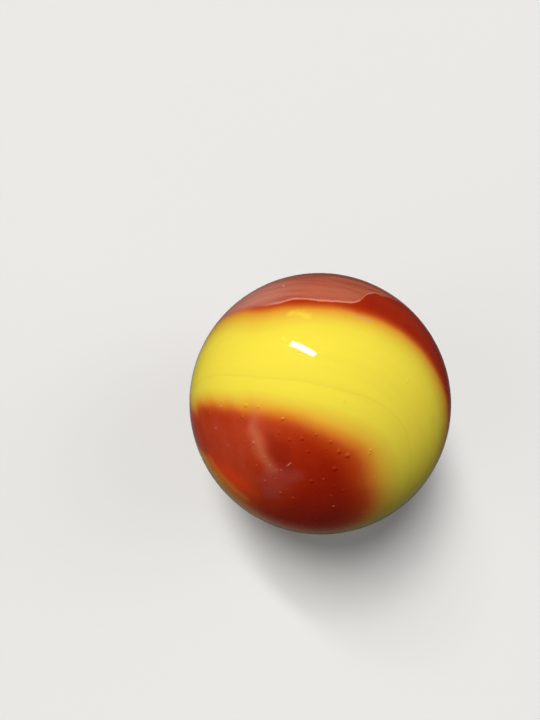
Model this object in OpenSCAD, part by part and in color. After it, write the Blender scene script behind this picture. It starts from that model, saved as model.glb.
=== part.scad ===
// Glass play marble: a fused ball of clear red glass with an opaque yellow
// ribbon swept round it. The ribbon circles one point of the surface, the eye
// of the swirl, where a red tongue lies in it and trails off to one side. A
// milky veil lies along a stretch of the ribbon's outer edge.

/* [Ball] */
// Diameter of the ball
ball_d = 16; // [12.5:0.5:25]

/* [Yellow ribbon] */
// Heading of the eye round the vertical axis, from the +X side, in degrees
eye_heading = -115; // [-180:5:180]
// Height of the eye above the equator, in degrees
eye_height = 47; // [0:1:90]
// Angle from the eye out to the ribbon's outer edge
ribbon_edge = 74; // [66:1:84]

/* [Red tongue] */
// Turn of the round head's middle round the eye, in degrees
head_turn = 66; // [-180:1:180]
// Angle from the eye out to the middle of the head
head_reach = 6; // [0:1:10]
// Angle from the head's middle out to its rim
head_edge = 27; // [18:1:36]
// Turn of the tail round the eye, in degrees
tail_turn = -80; // [-180:1:180]
// Angle from the eye out to the middle of the tail's end
tail_reach = 78; // [74:1:90]
// Radius of the tail's end, as a share of the ball's radius
tail_share = 0.18; // [0.14:0.01:0.3]

/* [Milky veil] */
// Width of the veil at its middle, as an angle
veil_width = 36; // [20:1:50]
// Turn of the veil's middle round the eye, in degrees
veil_turn = -130; // [-180:1:180]
// Strip of red left between the ribbon and the veil, as an angle
veil_gap = 1; // [0.5:0.5:4]

/* [Hidden] */
ball_r = ball_d / 2;
facets = 96;
// The glasses run this far into each other, where they are fused
fused_lap = ball_d / 320;
clear_red = "#9e1c0e";
opaque_yellow = "#f2dc3c";
milky_pink = "#bd6f58";

module ball() {
    sphere(d = ball_d, $fn = facets);
}

// A spot on the ball, seen with the eye at +Z
function on_ball(turn, reach) =
    ball_r * [sin(reach) * cos(turn), sin(reach) * sin(turn), cos(reach)];

// Turns a shape made round +Z so that it lies round the eye
module round_eye() {
    rotate([0, 90 - eye_height, eye_heading]) children();
}

// Everything within an angle of +Z, cut off by a flat plane
module cap_space(angle, lap = 0) {
    translate([0, 0, ball_r * cos(angle) + lap])
        cylinder(r = ball_d, h = ball_d, $fn = facets);
}

// A round head beside the eye, and a straight taper to the tail's round end
module tongue_space(lap = 0) {
    head_r = 2 * ball_r * sin(head_edge / 2) + lap;
    tail_r = ball_r * tail_share + lap;
    head = on_ball(head_turn, head_reach);
    run = on_ball(tail_turn, tail_reach) - head;
    tail_run = norm(run);
    lean = asin((head_r - tail_r) / tail_run);
    translate(head)
        rotate([0, acos(run.z / tail_run), atan2(run.y, run.x)]) {
            sphere(r = head_r, $fn = facets);
            translate([0, 0, head_r * sin(lean)])
                cylinder(
                    r1 = head_r * cos(lean),
                    r2 = tail_r * cos(lean),
                    h = tail_run - (head_r - tail_r) * sin(lean),
                    $fn = facets
                );
            translate([0, 0, tail_run])
                sphere(r = tail_r, $fn = facets);
        }
}

module ribbon_space(lap = 0) {
    difference() {
        cap_space(ribbon_edge, lap);
        tongue_space(lap);
    }
}

// A crescent: the ribbon's outline, slid over by the veil's width
module veil_space(lap = 0) {
    difference() {
        rotate([0, 0, veil_turn])
            rotate([0, veil_width, 0])
                cap_space(ribbon_edge + veil_gap, lap);
        cap_space(ribbon_edge + veil_gap, -lap);
    }
}

module yellow_ribbon() {
    color(opaque_yellow)
        intersection() {
            ball();
            round_eye() ribbon_space();
        }
}

module milky_veil() {
    color(milky_pink)
        intersection() {
            ball();
            round_eye() veil_space();
        }
}

module red_glass() {
    color(clear_red)
        difference() {
            ball();
            round_eye() ribbon_space(fused_lap);
            round_eye() veil_space(fused_lap);
        }
}

module marble() {
    red_glass();
    yellow_ribbon();
    milky_veil();
}

marble();
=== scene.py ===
import random
from math import cos, pi, radians, sin, tan
from types import SimpleNamespace

import bmesh
import bpy
from mathutils import Euler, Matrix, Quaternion, Vector
from mathutils.kdtree import KDTree


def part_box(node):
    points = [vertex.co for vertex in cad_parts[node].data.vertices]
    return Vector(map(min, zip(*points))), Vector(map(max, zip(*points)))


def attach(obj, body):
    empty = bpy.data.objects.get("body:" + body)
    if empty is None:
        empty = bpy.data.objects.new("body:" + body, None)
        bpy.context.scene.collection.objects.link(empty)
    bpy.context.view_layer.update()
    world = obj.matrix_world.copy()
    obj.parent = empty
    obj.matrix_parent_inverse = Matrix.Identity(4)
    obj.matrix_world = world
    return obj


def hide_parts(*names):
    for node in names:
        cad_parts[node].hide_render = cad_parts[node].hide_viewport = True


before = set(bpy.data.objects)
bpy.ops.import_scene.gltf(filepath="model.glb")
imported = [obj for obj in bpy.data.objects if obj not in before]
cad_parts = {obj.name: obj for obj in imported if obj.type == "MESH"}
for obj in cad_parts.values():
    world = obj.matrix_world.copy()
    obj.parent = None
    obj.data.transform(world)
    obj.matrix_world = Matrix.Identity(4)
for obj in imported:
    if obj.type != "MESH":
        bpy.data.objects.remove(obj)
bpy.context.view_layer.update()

millimetre = 0.001
ballLow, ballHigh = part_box("marble")
ballRadius = (ballHigh.z - ballLow.z) / 2
print("frame loaded, ball radius", round(ballRadius, 6))

# The swirl circles one point of the ball, its eye. Places on the ball are a turn
# round the eye and a reach away from it, in degrees, as in the part's source.
swirl = {
    "eyeHeading": -115,  # round the vertical, from +X
    "eyeHeight": 47,  # above the equator
}
eyeTurn = Euler((0, radians(90 - swirl["eyeHeight"]), radians(swirl["eyeHeading"])))


def onBall(turn, reach):
    # a unit vector in the eye's frame
    turn, reach = radians(turn), radians(reach)
    return Vector((sin(reach) * cos(turn), sin(reach) * sin(turn), cos(reach)))


class Wire:
    # a shader socket that takes part in sums, each of which adds a Math node
    def __init__(self, shader, socket):
        self.shader = shader
        self.socket = socket

    def __add__(self, other):
        return self.shader.math("ADD", self, other)

    def __radd__(self, other):
        return self.shader.math("ADD", other, self)

    def __sub__(self, other):
        return self.shader.math("SUBTRACT", self, other)

    def __rsub__(self, other):
        return self.shader.math("SUBTRACT", other, self)

    def __mul__(self, other):
        return self.shader.math("MULTIPLY", self, other)

    def __rmul__(self, other):
        return self.shader.math("MULTIPLY", other, self)

    def __truediv__(self, other):
        return self.shader.math("DIVIDE", self, other)

    def __rtruediv__(self, other):
        return self.shader.math("DIVIDE", other, self)


class Shader:
    # the nodes of a material or of the world
    def __init__(self, owner):
        owner.use_nodes = True
        self.tree = owner.node_tree
        self.tree.nodes.clear()

    def add(self, kind, settings=None, inputs=None, output=0):
        # settings first, then the values or links of the sockets
        node = self.tree.nodes.new(kind)
        for name, value in (settings or {}).items():
            if name == "stops":
                self.setStops(node.color_ramp, value)
            elif name == "curve":
                node.color_ramp.interpolation = value
            else:
                setattr(node, name, value)
        for key, value in (inputs or {}).items():
            if isinstance(value, Wire):
                self.tree.links.new(value.socket, node.inputs[key])
            else:
                node.inputs[key].default_value = value
        return Wire(self, node.outputs[output]) if len(node.outputs) else None

    def setStops(self, ramp, stops):
        while len(ramp.elements) < len(stops):
            ramp.elements.new(1.0)
        for element, (place, colour) in zip(ramp.elements, stops):
            element.position = place
            element.color = (*colour, 1.0)

    def split(self, kind, value):
        # the parts of a vector or a colour
        node = self.add(kind, {}, {0: value}).socket.node
        return [Wire(self, socket) for socket in node.outputs]

    def joinVector(self, x, y, z):
        return self.add("ShaderNodeCombineXYZ", {}, {0: x, 1: y, 2: z})

    def grey(self, level):
        return self.add("ShaderNodeCombineColor", {}, {0: level, 1: level, 2: level})

    def math(self, operation, a, b=0.0, c=0.0):
        return self.add("ShaderNodeMath", {"operation": operation}, {0: a, 1: b, 2: c})

    def vector(self, operation, a, b=(0, 0, 0), output="Vector"):
        settings = {"operation": operation}
        return self.add("ShaderNodeVectorMath", settings, {0: a, 1: b}, output)

    def between(self, value, low, high):
        # 0 at low, 1 at high, eased at both ends
        settings = {"interpolation_type": "SMOOTHSTEP"}
        inputs = {"Value": value, "From Min": low, "From Max": high}
        return self.add("ShaderNodeMapRange", settings, inputs)

    def clamp(self, value):
        return self.add("ShaderNodeClamp", {}, {"Value": value})

    def noise(self, place, scale, detail, roughness=0.5):
        # about -0.5 to 0.5
        inputs = {"Vector": place, "Scale": scale, "Detail": detail, "Roughness": roughness}
        return self.add("ShaderNodeTexNoise", {"noise_dimensions": "3D"}, inputs) - 0.5

    def mixColour(self, share, a, b, blend="MIX"):
        settings = {"data_type": "RGBA", "blend_type": blend, "clamp_factor": True}
        return self.add("ShaderNodeMix", settings, {0: share, 6: a, 7: b}, 2)

    def ramp(self, value, stops):
        stops = [(at, linear(*colour)) for at, colour in stops]
        return self.add("ShaderNodeValToRGB", {"stops": stops}, {0: value})

    def byTurn(self, turnShare, outline, curve="CARDINAL"):
        # the reach and the softness that an outline has at this turn, in degrees
        stops = [(turn / 360, (reach / 180, soft / 180, 0)) for turn, reach, soft in outline]
        settings = {"stops": stops, "curve": curve}
        both = self.add("ShaderNodeValToRGB", settings, {0: turnShare})
        reach, soft, _ = self.split("ShaderNodeSeparateColor", both)
        return reach * 180, soft * 180

    def rodDistance(self, place, start, end, startRadius, endRadius):
        # how far outside a tapered rod with round ends
        rod = end - start
        fromStart = self.vector("SUBTRACT", place, tuple(start))
        unit = tuple(rod / rod.length_squared)
        along = self.clamp(self.vector("DOT_PRODUCT", fromStart, unit, "Value"))
        foot = self.vector("MULTIPLY", self.joinVector(along, along, along), tuple(rod))
        away = self.vector("DISTANCE", fromStart, foot, "Value")
        return away - startRadius - along * (endRadius - startRadius)

    def chainDistance(self, place, path, radii):
        # how far outside a chain of such rods along a path of turns and reaches
        spots = [onBall(*spot) for spot in path]
        rods = zip(spots, spots[1:], radii, radii[1:])
        nearest, *others = [self.rodDistance(place, *rod) for rod in rods]
        for away in others:
            nearest = self.math("MINIMUM", away, nearest)
        return nearest


def linear(red, green, blue):
    # the colours are written as a screen shows them, 0 to 255
    def one(value):
        value = value / 255
        return value / 12.92 if value <= 0.04045 else ((value + 0.055) / 1.055) ** 2.4

    return (one(red), one(green), one(blue))


def rgba(colour):
    return (*linear(*colour), 1.0)


def eyeView(shader):
    # where a point of the ball lies in the eye's frame, in which its radius is 1
    mapping = {
        "Vector": shader.add("ShaderNodeTexCoord", output="Object"),
        "Rotation": eyeTurn,
        "Scale": (ballRadius, ballRadius, ballRadius),
    }
    turnedBack = shader.add("ShaderNodeMapping", {"vector_type": "TEXTURE"}, mapping)
    eye = shader.vector("NORMALIZE", turnedBack)
    x, y, z = shader.split("ShaderNodeSeparateXYZ", eye)
    return SimpleNamespace(
        place=eye,
        x=x,
        y=y,
        z=z,
        reach=shader.math("DEGREES", shader.math("ARCCOSINE", z)),
        turnShare=shader.math("ARCTAN2", 0 - y, 0 - x) / (2 * pi) + 0.5,
        wander=shader.noise(eye, glass["strayScale"], 3.0),
    )


# Clear red glass over opaque yellow: the colour by how deep the red lies.
glass = {
    "depthRamp": [
        (0.00, (251, 229, 70)),
        (0.16, (248, 213, 66)),
        (0.32, (244, 186, 57)),
        (0.42, (238, 158, 48)),
        (0.53, (228, 122, 38)),
        (0.63, (208, 88, 28)),
        (0.73, (195, 65, 15)),
        (0.86, (184, 48, 9)),
        (1.00, (167, 32, 5)),
    ],
    "edgeDepth": 0.4,  # the depth on an outline below
    "edgeRise": 0.3,  # and how much deeper it gets over the outline's softness
    "edgeStray": 1.5,  # degrees that an outline wanders
    "strayScale": 7.0,
}

# The tongue of red that lies in the ribbon: by turn, the reach of its outline and
# its softness. Its tail is a rod that runs out through the ribbon.
tongue = {
    "outline": [
        (0, 37, 8),
        (30, 39.5, 8),
        (60, 42.5, 7.5),
        (85, 40, 7.5),
        (105, 35, 7.5),
        (135, 32.2, 6.8),
        (155, 28, 6),
        (190, 25.2, 4.6),
        (225, 28, 4.8),
        (242, 32.4, 5),
        (256, 39.5, 5.5),
        (266, 46, 5),
        (276, 51, 5),
        (296, 46, 8),
        (312, 40.5, 14),
        (335, 37.5, 15),
        (360, 37, 8),
    ],
    "tail": [(-75, 38), (-63, 92)],
    "tailRadius": 0.18,
    "tailSoft": 0.055,
    "tailBlend": 0.2,
    "shallow": 0.80,  # greatest depth, on the tail's side
    "deep": 1.0,  # and on the other side
    "sides": (-0.25, 0.25),  # between which it goes from one to the other
    "cloudScale": 5.0,
    "cloud": 0.2,  # how unevenly deep it is
    "levelling": 0.15,  # how gently it levels out at its greatest depth
}


def redOfTongue(shader, at):
    # the tongue's reach, and how deep the red lies in it, 0 to 1
    rise, edgeDepth = glass["edgeRise"], glass["edgeDepth"]
    reach, soft = shader.byTurn(at.turnShare, tongue["outline"])
    depth = (reach - at.reach + at.wander * glass["edgeStray"]) / soft * rise + edgeDepth
    start, end = (onBall(*spot) for spot in tongue["tail"])
    pastTail = shader.rodDistance(at.place, start, end, tongue["tailRadius"], tongue["tailRadius"])
    tailDepth = edgeDepth - pastTail * (rise / tongue["tailSoft"])
    depth = shader.math("SMOOTH_MAX", depth, tailDepth, tongue["tailBlend"])
    deeper = shader.between(at.y, *tongue["sides"]) * (tongue["deep"] - tongue["shallow"])
    most = tongue["shallow"] + deeper
    most = most + shader.noise(at.place, tongue["cloudScale"], 4.0) * tongue["cloud"]
    return reach, shader.math("SMOOTH_MIN", depth, most, tongue["levelling"])


# The outer edge of the yellow ribbon, past which lies the red of the back.
ribbon = {
    "outline": [
        (0, 76, 5),
        (90, 76, 5),
        (125, 77, 4),
        (137, 76.2, 3.4),
        (150, 75.5, 3.2),
        (165, 73.2, 3.2),
        (180, 69.8, 3.2),
        (210, 65.6, 3.8),
        (225, 67.8, 4.6),
        (240, 76, 5),
        (258, 82, 5),
        (320, 77, 5),
        (360, 76, 5),
    ],
    "foot": 0.55,  # how much less steeply the red comes in before its edge
    "most": 0.92,  # greatest depth of the red at the back
    "cloudScale": 4.0,
    "cloud": 0.3,
    "levelling": 0.2,
}


def redOfBack(shader, at):
    # the ribbon's reach, and how deep the red lies past it
    reach, soft = shader.byTurn(at.turnShare, ribbon["outline"])
    rise = (at.reach - reach + at.wander * glass["edgeStray"]) / soft * glass["edgeRise"]
    depth = shader.math("MAXIMUM", rise, rise * ribbon["foot"]) + glass["edgeDepth"]
    most = ribbon["most"] + shader.noise(at.place, ribbon["cloudScale"], 4.0) * ribbon["cloud"]
    return reach, shader.math("SMOOTH_MIN", depth, most, ribbon["levelling"])


# Fine flow lines in the yellow, which follow the tongue and the ribbon's edge.
flow = {
    "stray": 0.03,
    "bands": 9,  # from the tongue out to the edge
    "bandsRound": 3,  # and once round
    "contrast": 0.12,
    "line": 0.285,  # how far out from the tongue the fine darker line lies
    "lineDrift": 0.07,  # and how much further on the side away from the tail
    "lineSides": (0.0, 0.45),
    "lineEdge": (0.016, 0.004),
    "lineShade": 0.955,
    "rimDepth": (-0.35, 0.6),  # depths of red between which the ribbon's rim darkens: thinner yellow there, and in part painted shade
    "rimPaintedShade": 0.88,
}


def shadeOfFlow(shader, at, tongueReach, ribbonReach, backDepth):
    out = (at.reach - tongueReach) / (ribbonReach - tongueReach) + at.wander * flow["stray"]
    bands = shader.joinVector(out * flow["bands"], at.turnShare * flow["bandsRound"], 0.0)
    shade = 1 + shader.noise(bands, 1.0, 3.0) * flow["contrast"]
    fromLine = out - flow["line"] - shader.between(at.y, *flow["lineSides"]) * flow["lineDrift"]
    line = shader.between(shader.math("ABSOLUTE", fromLine), *flow["lineEdge"])
    shade = shade - line * (1 - flow["lineShade"])
    # the yellow darkens towards the ribbon's rim, partly as painted shade
    shade = shade - shader.between(backDepth, *flow["rimDepth"]) * (1 - flow["rimPaintedShade"])
    return shader.grey(shade)


# Milky streaks in the tail, which run the way the wisp does.
streaks = {
    "across": 9,
    "along": 1.8,
    "down": 2,
    "stray": 2,
    "noise": (-0.25, 0.3),  # from clear to milky
    "depth": (0.5, 0.75),  # of the red, where they come in
    "sides": (0.1, -0.3),  # and towards the tail
    "share": 0.4,
    "colour": (214, 84, 64),
}


def addStreaks(shader, at, colour, tongueDepth):
    diagonal = 0.71
    across = (at.y - at.x) * (streaks["across"] * diagonal) + at.wander * streaks["stray"]
    along = (at.x + at.y) * (streaks["along"] * diagonal)
    lengthwise = shader.joinVector(across, along, at.z * streaks["down"])
    inTail = shader.between(tongueDepth, *streaks["depth"]) * shader.between(at.y, *streaks["sides"])
    milky = shader.between(shader.noise(lengthwise, 1.0, 3.0), *streaks["noise"])
    return shader.mixColour(milky * streaks["share"] * inTail, colour, rgba(streaks["colour"]))


# Soft stains, and marks of painted light, shade and reflection, each along a path of turns and
# reaches.
raggedScale = 9.0  # of what makes their edges ragged
stainsAndPaintedLight = [
    {  # amber below the tongue, where a little red lies over the yellow; it also darkens the lower rim as painted shade
        "path": [(-52, 46), (-20, 43), (15, 43), (48, 52)],
        "radii": [0.03, 0.05, 0.05, 0.02],
        "soft": 0.26,
        "ragged": 0.05,
        "share": 0.5,
        "colour": (186, 92, 30),
    },
    {  # an orange edge at the foot of the tail, made bright partly as painted light
        "path": [(-60, 36), (-48, 31), (-37, 27.5), (-25, 25)],
        "radii": [0.01, 0.035, 0.03, 0.01],
        "soft": 0.09,
        "ragged": 0.02,
        "share": 0.8,
        "colour": (255, 150, 40),
    },
    {  # light that comes through from behind
        "path": [(-61, 34), (-54, 26), (-44, 21.5), (-32, 18.5)],
        "radii": [0.02, 0.07, 0.06, 0.02],
        "soft": 0.22,
        "ragged": 0.05,
        "share": 0.85,
        "colour": (255, 72, 12),
    },
    {  # a wide milky haze
        "path": [(-134, 27), (-128, 17)],
        "radii": [0.02, 0.04],
        "soft": 0.2,
        "ragged": 0.04,
        "share": 0.16,
        "colour": (232, 120, 88),
    },
    {  # and the wisp along its edge
        "path": [(-129, 27), (-122, 20), (-117, 13), (-107, 6)],
        "radii": [0.0, 0.02, 0.03, 0.02],
        "soft": 0.1,
        "ragged": 0.04,
        "share": 0.36,
        "colour": (230, 152, 104),
    },
    {  # a dark pocket beside the wisp
        "path": [(-141, 16), (-151, 11), (-168, 6)],
        "radii": [0.035, 0.085, 0.05],
        "soft": 0.085,
        "ragged": 0.03,
        "share": 0.52,
        "colour": (142, 20, 8),
    },
    {  # the smudge that the wisp ends in
        "path": [(151, 5), (-90, 2), (-20, 8), (-11, 14)],
        "radii": [0.045, 0.085, 0.07, 0.02],
        "soft": 0.09,
        "ragged": 0.07,
        "share": 0.25,
        "colour": (178, 88, 84),
    },
    {  # marks in the yellow, painted reflections of the room: a milky one,
        "path": [(182.5, 69), (175, 70.3)],
        "radii": [0.006, 0.012],
        "soft": 0.02,
        "ragged": 0.012,
        "share": 0.45,
        "colour": (214, 160, 124),
    },
    {  # two brighter ones
        "path": [(206, 64.5), (199, 64)],
        "radii": [0.02, 0.02],
        "soft": 0.045,
        "ragged": 0.05,
        "share": 0.7,
        "colour": (252, 222, 72),
    },
    {
        "path": [(207.6, 52.8), (206.6, 51.8)],
        "radii": [0.008, 0.008],
        "soft": 0.02,
        "ragged": 0.01,
        "share": 0.8,
        "colour": (255, 246, 84),
    },
    {  # and a hairline, painted pale as a painted highlight
        "path": [(209, 47.1), (198, 46.7), (178, 48)],
        "radii": [0.0, 0.003, 0.0],
        "soft": 0.008,
        "ragged": 0.004,
        "share": 0.6,
        "colour": (255, 243, 120),
    },
]


def addStainsAndPaintedLight(shader, at, colour):
    coarse = {"Vector": at.place, "Scale": raggedScale, "Detail": 4.0}
    ragged = shader.add("ShaderNodeTexNoise", {}, coarse, "Color")
    ragged = shader.vector("SUBTRACT", ragged, (0.5, 0.5, 0.5))
    for mark in stainsAndPaintedLight:
        stray = shader.vector("MULTIPLY", ragged, (mark["ragged"] * 2,) * 3)
        strayed = shader.vector("ADD", at.place, stray)
        past = shader.chainDistance(strayed, mark["path"], mark["radii"])
        share = shader.between(past, mark["soft"] / 2, -mark["soft"] / 2) * mark["share"]
        colour = shader.mixColour(share, colour, rgba(mark["colour"]))
    return colour


# A milky veil lies on the red outside the ribbon: the reach of its inner edge.
veil = {
    "outline": [
        (0, 150, 2),
        (140, 130, 2),
        (153, 106, 4),
        (165, 98, 4),
        (171, 93.5, 3),
        (174, 91, 1.5),
        (177, 91, 0.8),
        (180, 85, 0.8),
        (181.5, 77.5, 0.8),
        (184, 75, 0.8),
        (189, 73, 0.8),
        (196, 71.4, 0.8),
        (206, 71.8, 0.8),
        (213, 69.5, 1),
        (220, 70, 2),
        (227, 71.5, 3),
        (236, 73.5, 4),
        (248, 77, 6),
        (262, 88, 9),
        (275, 104, 12),
        (300, 150, 10),
        (360, 150, 2),
    ],
    "ragged": 1.2,  # degrees that its edge strays
    "raggedScale": 16.0,
    "fades": (128, 100),  # from gone to full, by reach, round at the back
    "share": 0.86,
    "foldStretch": (1.2, 1.2, 10),  # its folds run round the eye
    "foldScale": 1.6,
    "folds": (-0.2, 0.16),  # from dark to pale
    "paleColour": (200, 110, 82),
    "darkColour": (168, 74, 52),
    "foldHighlightColour": (240, 150, 124),
    "rimRise": (0.0, 0.4),  # degrees past the edge, for the painted highlight along the fold
    "rimFall": (2.0, 0.7),
    "rimSoft": (3.0, 1.0),  # the painted highlight shows only where the edge is this sharp
    "greyColour": (226, 160, 142),
    "greyShare": 0.55,
    "greySides": (-0.35, -0.8),  # it greys on the side that the tail runs out to
}


def addVeil(shader, at, colour):
    reach, soft = shader.byTurn(at.turnShare, veil["outline"], "LINEAR")
    ragged = shader.noise(at.place, veil["raggedScale"], 3.0) * veil["ragged"]
    past = at.reach - reach + ragged
    stretchX, stretchY, stretchZ = veil["foldStretch"]
    stretched = shader.joinVector(at.x * stretchX, at.y * stretchY, at.z * stretchZ)
    folds = shader.between(shader.noise(stretched, veil["foldScale"], 4.0), *veil["folds"])
    milk = shader.mixColour(folds, rgba(veil["darkColour"]), rgba(veil["paleColour"]))
    # a lighter rim along the veil's fold: a painted highlight where the crease catches the light
    foldHighlight = shader.between(past, *veil["rimRise"]) * shader.between(past, *veil["rimFall"])
    foldHighlight = foldHighlight * shader.between(soft, *veil["rimSoft"])
    milk = shader.mixColour(foldHighlight, milk, rgba(veil["foldHighlightColour"]))
    grey = shader.between(at.y, *veil["greySides"]) * veil["greyShare"]
    milk = shader.mixColour(grey, milk, rgba(veil["greyColour"]))
    share = shader.clamp(past / soft) * shader.between(at.reach, *veil["fades"]) * veil["share"]
    return shader.mixColour(share, colour, milk)


# The fire-polished skin, with fine scuffs that spread its gloss.
skin = {
    "roughness": 0.04,
    "ior": 1.52,
    "scuffScale": 22.0,
    "scuffs": (0.04, 0.24),  # from polished to scuffed
    "scuffShare": 0.6,
    "scuffRoughness": 0.3,
    "unevenScale": 16.0,
    "uneven": 0.0012,  # height of the unevenness, in millimetres
    "seedColour": (248, 160, 124),
}


def swirledGlass():
    material = bpy.data.materials.new("swirledGlass")
    shader = Shader(material)
    at = eyeView(shader)
    tongueReach, tongueDepth = redOfTongue(shader, at)
    ribbonReach, backDepth = redOfBack(shader, at)
    depth = shader.clamp(shader.math("MAXIMUM", tongueDepth, backDepth))
    shade = shadeOfFlow(shader, at, tongueReach, ribbonReach, backDepth)
    colour = shader.mixColour(1.0, shader.ramp(depth, glass["depthRamp"]), shade, "MULTIPLY")
    colour = addStreaks(shader, at, colour, tongueDepth)
    colour = addStainsAndPaintedLight(shader, at, colour)
    colour = addVeil(shader, at, colour)
    white = shader.add("ShaderNodeAttribute", {"attribute_name": "seedWhite"}, output="Fac")
    colour = shader.mixColour(white, colour, rgba(skin["seedColour"]))

    scuffs = shader.between(shader.noise(at.place, skin["scuffScale"], 3.0, 0.6), *skin["scuffs"])
    uneven = {
        "Strength": 1.0,
        "Distance": skin["uneven"] * millimetre,
        "Height": shader.noise(at.place, skin["unevenScale"], 4.0, 0.6),
    }
    finish = {
        "Base Color": colour,
        "Roughness": skin["roughness"],
        "IOR": skin["ior"],
        "Normal": shader.add("ShaderNodeBump", {}, uneven),
        "Coat Weight": scuffs * skin["scuffShare"],
        "Coat Roughness": skin["scuffRoughness"],
    }
    surface = shader.add("ShaderNodeBsdfPrincipled", {}, finish)
    shader.add("ShaderNodeOutputMaterial", {}, {"Surface": surface})
    return material


# Bubbles just under the skin, which lift it: turn, reach, radius in millimetres,
# share of white in the glass over them. Small ones are strewn in the tongue.
seeds = {
    "placed": [
        (254, 36, 0.11, 0.15),
        (266, 39, 0.09, 0.1),
        (270, 33, 0.11, 0.15),
        (241, 27, 0.10, 0.05),
        (234, 30, 0.12, 0.0),
        (224, 28, 0.10, 0.05),
        (204, 23, 0.13, 0.0),
        (208, 18, 0.11, 0.0),
        (194, 16, 0.12, 0.0),
        (180, 18, 0.13, 0.0),
        (165, 15, 0.12, 0.0),
        (155, 23, 0.11, 0.0),
        (143, 23, 0.15, 0.0),
        (136, 25, 0.17, 0.0),
        (128, 19, 0.16, 0.0),
        (112, 10, 0.14, 0.0),
        (76, 22, 0.08, 0.4),
        (274, 25, 0.08, 0.15),
        (274, 11, 0.09, 0.1),
        (245, 17, 0.12, 0.2),
        (312, 8, 0.10, 0.1),
        (9, 7, 0.10, 0.1),
        (248, 6.8, 0.07, 0.25),
        (238, 4.2, 0.06, 0.25),
        (214, 3.7, 0.07, 0.3),
        (148, 60, 0.07, 0.0),
        (214, 84, 0.11, 0.8),
    ],
    "fleck": [(189, 5.8, 0.05, 0.5), (184.5, 6.6, 0.07, 0.6), (181, 7.4, 0.06, 0.5)],
    "strewn": 30,
    "strewnReach": 37,
    "strewnRadius": (0.05, 0.09),
    "strewnWhite": (0, 0, 0.12),
    "lift": 0.4,  # height of a blister, as a share of its radius
    "seed": 4,
}

ball = {
    "cells": 96,  # quads along each edge of the cube that is blown round
    "seedCells": 5,  # times finer round a seed
}


def strewSeeds():
    # the placed ones, and small ones at random in the tongue
    chance = random.Random(seeds["seed"])
    spots = [*seeds["placed"], *seeds["fleck"]]
    for _ in range(seeds["strewn"]):
        turn = chance.uniform(0, 360)
        reach = seeds["strewnReach"] * chance.random() ** 0.5
        radius = chance.uniform(*seeds["strewnRadius"])
        spots.append((turn, reach, radius, chance.choice(seeds["strewnWhite"])))
    turned = eyeTurn.to_matrix()
    return [
        (turned @ onBall(turn, reach) * ballRadius, radius * millimetre, white)
        for turn, reach, radius, white in spots
    ]


def treeOf(points):
    tree = KDTree(len(points))
    for i, point in enumerate(points):
        tree.insert(point, i)
    tree.balance()
    return tree


def blowRound(mesh):
    # a cube of quads, blown up to the ball
    bmesh.ops.create_cube(mesh, size=2)
    cuts = ball["cells"] - 1
    bmesh.ops.subdivide_edges(mesh, edges=mesh.edges[:], cuts=cuts, use_grid_fill=True)
    for vert in mesh.verts:
        # equal angles between the rows keep the quads alike in size
        vert.co = Vector(tan(c * pi / 4) for c in vert.co).normalized() * ballRadius


def refineRound(mesh, spots):
    # finer quads round each seed
    cell = ballRadius * pi / 2 / ball["cells"]
    faces = mesh.faces[:]
    centres = treeOf([face.calc_center_median() for face in faces])
    near = set()
    for spot, radius, _ in spots:
        for _, i, _ in centres.find_range(spot, radius + cell):
            near.update(faces[i].edges)
    cuts = ball["seedCells"] - 1
    bmesh.ops.subdivide_edges(mesh, edges=list(near), cuts=cuts, use_grid_fill=True)
    for vert in mesh.verts:
        vert.co = vert.co.normalized() * ballRadius


def liftSeeds(mesh, spots):
    # a low blister over each seed, and how white the glass is there
    whiteness = mesh.verts.layers.float.new("seedWhite")
    verts = mesh.verts[:]
    places = treeOf([vert.co for vert in verts])
    lifts = {}
    for spot, radius, white in spots:
        for _, i, away in places.find_range(spot, radius):
            nearness = 1 - (away / radius) ** 2
            lifts[i] = max(lifts.get(i, 0), nearness**2 * radius * seeds["lift"])
            verts[i][whiteness] = max(verts[i][whiteness], nearness * white)
    for i, lift in lifts.items():
        verts[i].co = verts[i].co.normalized() * (ballRadius + lift)


def addObject(name, mesh):
    # a bmesh made an object of the scene
    data = bpy.data.meshes.new(name)
    mesh.to_mesh(data)
    mesh.free()
    thing = bpy.data.objects.new(name, data)
    bpy.context.scene.collection.objects.link(thing)
    return thing


def buildBall():
    mesh = bmesh.new()
    blowRound(mesh)
    spots = strewSeeds()
    refineRound(mesh, spots)
    liftSeeds(mesh, spots)
    for face in mesh.faces:
        face.smooth = True
    piece = addObject("marbleBall", mesh)
    piece.data.materials.append(swirledGlass())
    return piece


marbleBall = buildBall()
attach(marbleBall, "root")
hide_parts("marble")
print("ball", len(marbleBall.data.polygons), "faces")

# Levels are about how bright a white surface is that faces the light. Headings go
# round the vertical from +X and heights up from the floor, in degrees.
studio = {
    "floorColour": (232, 231, 228),
    "floorBounce": 0.09,  # what the floor sends back on to the ball
    "floorHalf": 1.0,  # half its width, in metres
    "keyHeading": 113.4,
    "keyHeight": 52.1,
    "keyRoll": -58,
    "keyDistance": 1.5,
    "keyLong": 22,  # how wide it looks from the ball, in degrees
    "keyShort": 4.4,
    "keyLevel": 0.22,
    "softHeading": 118,
    "softHeight": 66,
    "softSpread": 26,  # how wide it looks from the ball, in degrees
    "softLevel": 0.7,
    # the glow of the room: heading, height, sharpness, level
    "glows": [(190, 12, 8, 0.34), (13, 34, 16, 0.22), (-90, 20, 4, 0.04)],
    "backdrop": (231, 231, 229),
    "skyGloss": 0.03,  # how much of the pale backdrop the gloss shows
    "floorGloss": 0.04,  # of the floor
    "footGloss": 0.2,  # and of the floor at the ball's foot,
    "foot": (19, 9),  # which comes in between these reaches, in millimetres
}


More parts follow.
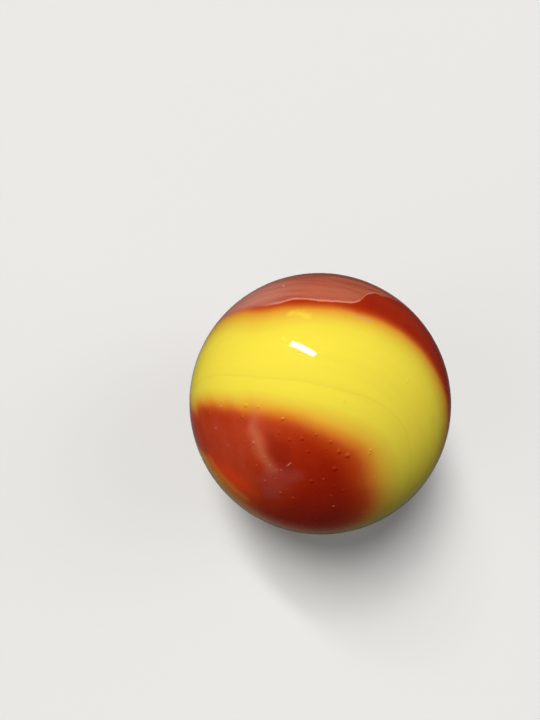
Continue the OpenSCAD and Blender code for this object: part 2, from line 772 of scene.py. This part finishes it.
def surroundings(shader, lit, seen, gloss):
    # the pale colour that is seen, straight or through glass, a little of it in
    # the gloss, and the plain level that lights the ball
    inGloss = shader.add("ShaderNodeLightPath", output="Is Glossy Ray")
    straight = shader.add("ShaderNodeLightPath", output="Is Camera Ray")
    through = shader.add("ShaderNodeLightPath", output="Is Transmission Ray")
    glossy = shader.mixColour(gloss, (0.0, 0.0, 0.0, 1.0), seen)
    colour = shader.mixColour(inGloss, shader.grey(lit), glossy)
    return shader.mixColour(shader.math("MAXIMUM", straight, through), colour, seen)


def buildFloor():
    mesh = bmesh.new()
    bmesh.ops.create_grid(mesh, x_segments=1, y_segments=1, size=studio["floorHalf"])
    bmesh.ops.translate(mesh, verts=mesh.verts[:], vec=(0, 0, ballLow.z))
    floor = addObject("tableTop", mesh)
    material = bpy.data.materials.new("paleTable")
    shader = Shader(material)
    place = shader.add("ShaderNodeTexCoord", output="Object")
    away = shader.vector("DISTANCE", place, (0, 0, ballLow.z), "Value")
    atFoot = shader.between(away, *(reach * millimetre for reach in studio["foot"]))
    gloss = atFoot * (studio["footGloss"] - studio["floorGloss"]) + studio["floorGloss"]
    colour = surroundings(shader, studio["floorBounce"], rgba(studio["floorColour"]), gloss)
    surface = shader.add("ShaderNodeBsdfDiffuse", {}, {"Color": colour})
    shader.add("ShaderNodeOutputMaterial", {}, {"Surface": surface})
    floor.data.materials.append(material)


def skyward(heading, height):
    heading, height = radians(heading), radians(height)
    return Vector((cos(height) * cos(heading), cos(height) * sin(heading), sin(height)))


def addLamp(name, kind, away, roll=0):
    # a lamp that faces the ball from this side
    data = bpy.data.lights.new(name, kind)
    lamp = bpy.data.objects.new(name, data)
    rolled = Quaternion((0, 0, 1), radians(roll))
    lamp.rotation_mode = "QUATERNION"
    lamp.rotation_quaternion = away.to_track_quat("Z", "Y") @ rolled
    bpy.context.scene.collection.objects.link(lamp)
    return lamp


def buildLamps():
    away = skyward(studio["keyHeading"], studio["keyHeight"])
    distance = studio["keyDistance"]
    key = addLamp("key", "AREA", away, studio["keyRoll"])
    key.location = away * distance
    key.data.shape = "RECTANGLE"
    key.data.size = 2 * distance * tan(radians(studio["keyLong"] / 2))
    key.data.size_y = 2 * distance * tan(radians(studio["keyShort"] / 2))
    key.data.energy = studio["keyLevel"] * pi**2 * distance**2

    soft = addLamp("soft", "SUN", skyward(studio["softHeading"], studio["softHeight"]))
    soft.data.angle = radians(studio["softSpread"])
    soft.data.energy = studio["softLevel"] * pi
    soft.visible_glossy = False  # the gloss shows the key alone


def buildWorld():
    world = bpy.data.worlds.new("studio")
    bpy.context.scene.world = world
    shader = Shader(world)
    towards = shader.add("ShaderNodeTexCoord", output="Generated")
    level = 0
    for heading, height, sharpness, share in studio["glows"]:
        facing = shader.vector("DOT_PRODUCT", towards, tuple(skyward(heading, height)), "Value")
        glow = shader.math("POWER", shader.math("MAXIMUM", facing, 0.0), sharpness)
        level = glow * (share * (sharpness + 1) / 2) + level
    colour = surroundings(shader, level, rgba(studio["backdrop"]), studio["skyGloss"])
    light = shader.add("ShaderNodeBackground", {}, {"Color": colour, "Strength": 1.0})
    shader.add("ShaderNodeOutputWorld", {}, {"Surface": light})


buildFloor()
buildLamps()
buildWorld()
print("studio")

cameraSet = {
    "tilt": 14,  # degrees off straight down
    "place": (-3.00, -5.72, 33.71),  # from the ball's centre, in millimetres
    "lens": 27,
}


def buildCamera():
    data = bpy.data.cameras.new("camera")
    data.lens = cameraSet["lens"]
    data.sensor_width = 36
    data.clip_start = 0.001
    data.clip_end = 10
    camera = bpy.data.objects.new("camera", data)
    camera.location = Vector(cameraSet["place"]) * millimetre
    camera.rotation_euler = (radians(cameraSet["tilt"]), 0, 0)
    bpy.context.scene.collection.objects.link(camera)
    bpy.context.scene.camera = camera


buildCamera()
bpy.context.scene.view_settings.view_transform = "Standard"
print("camera")
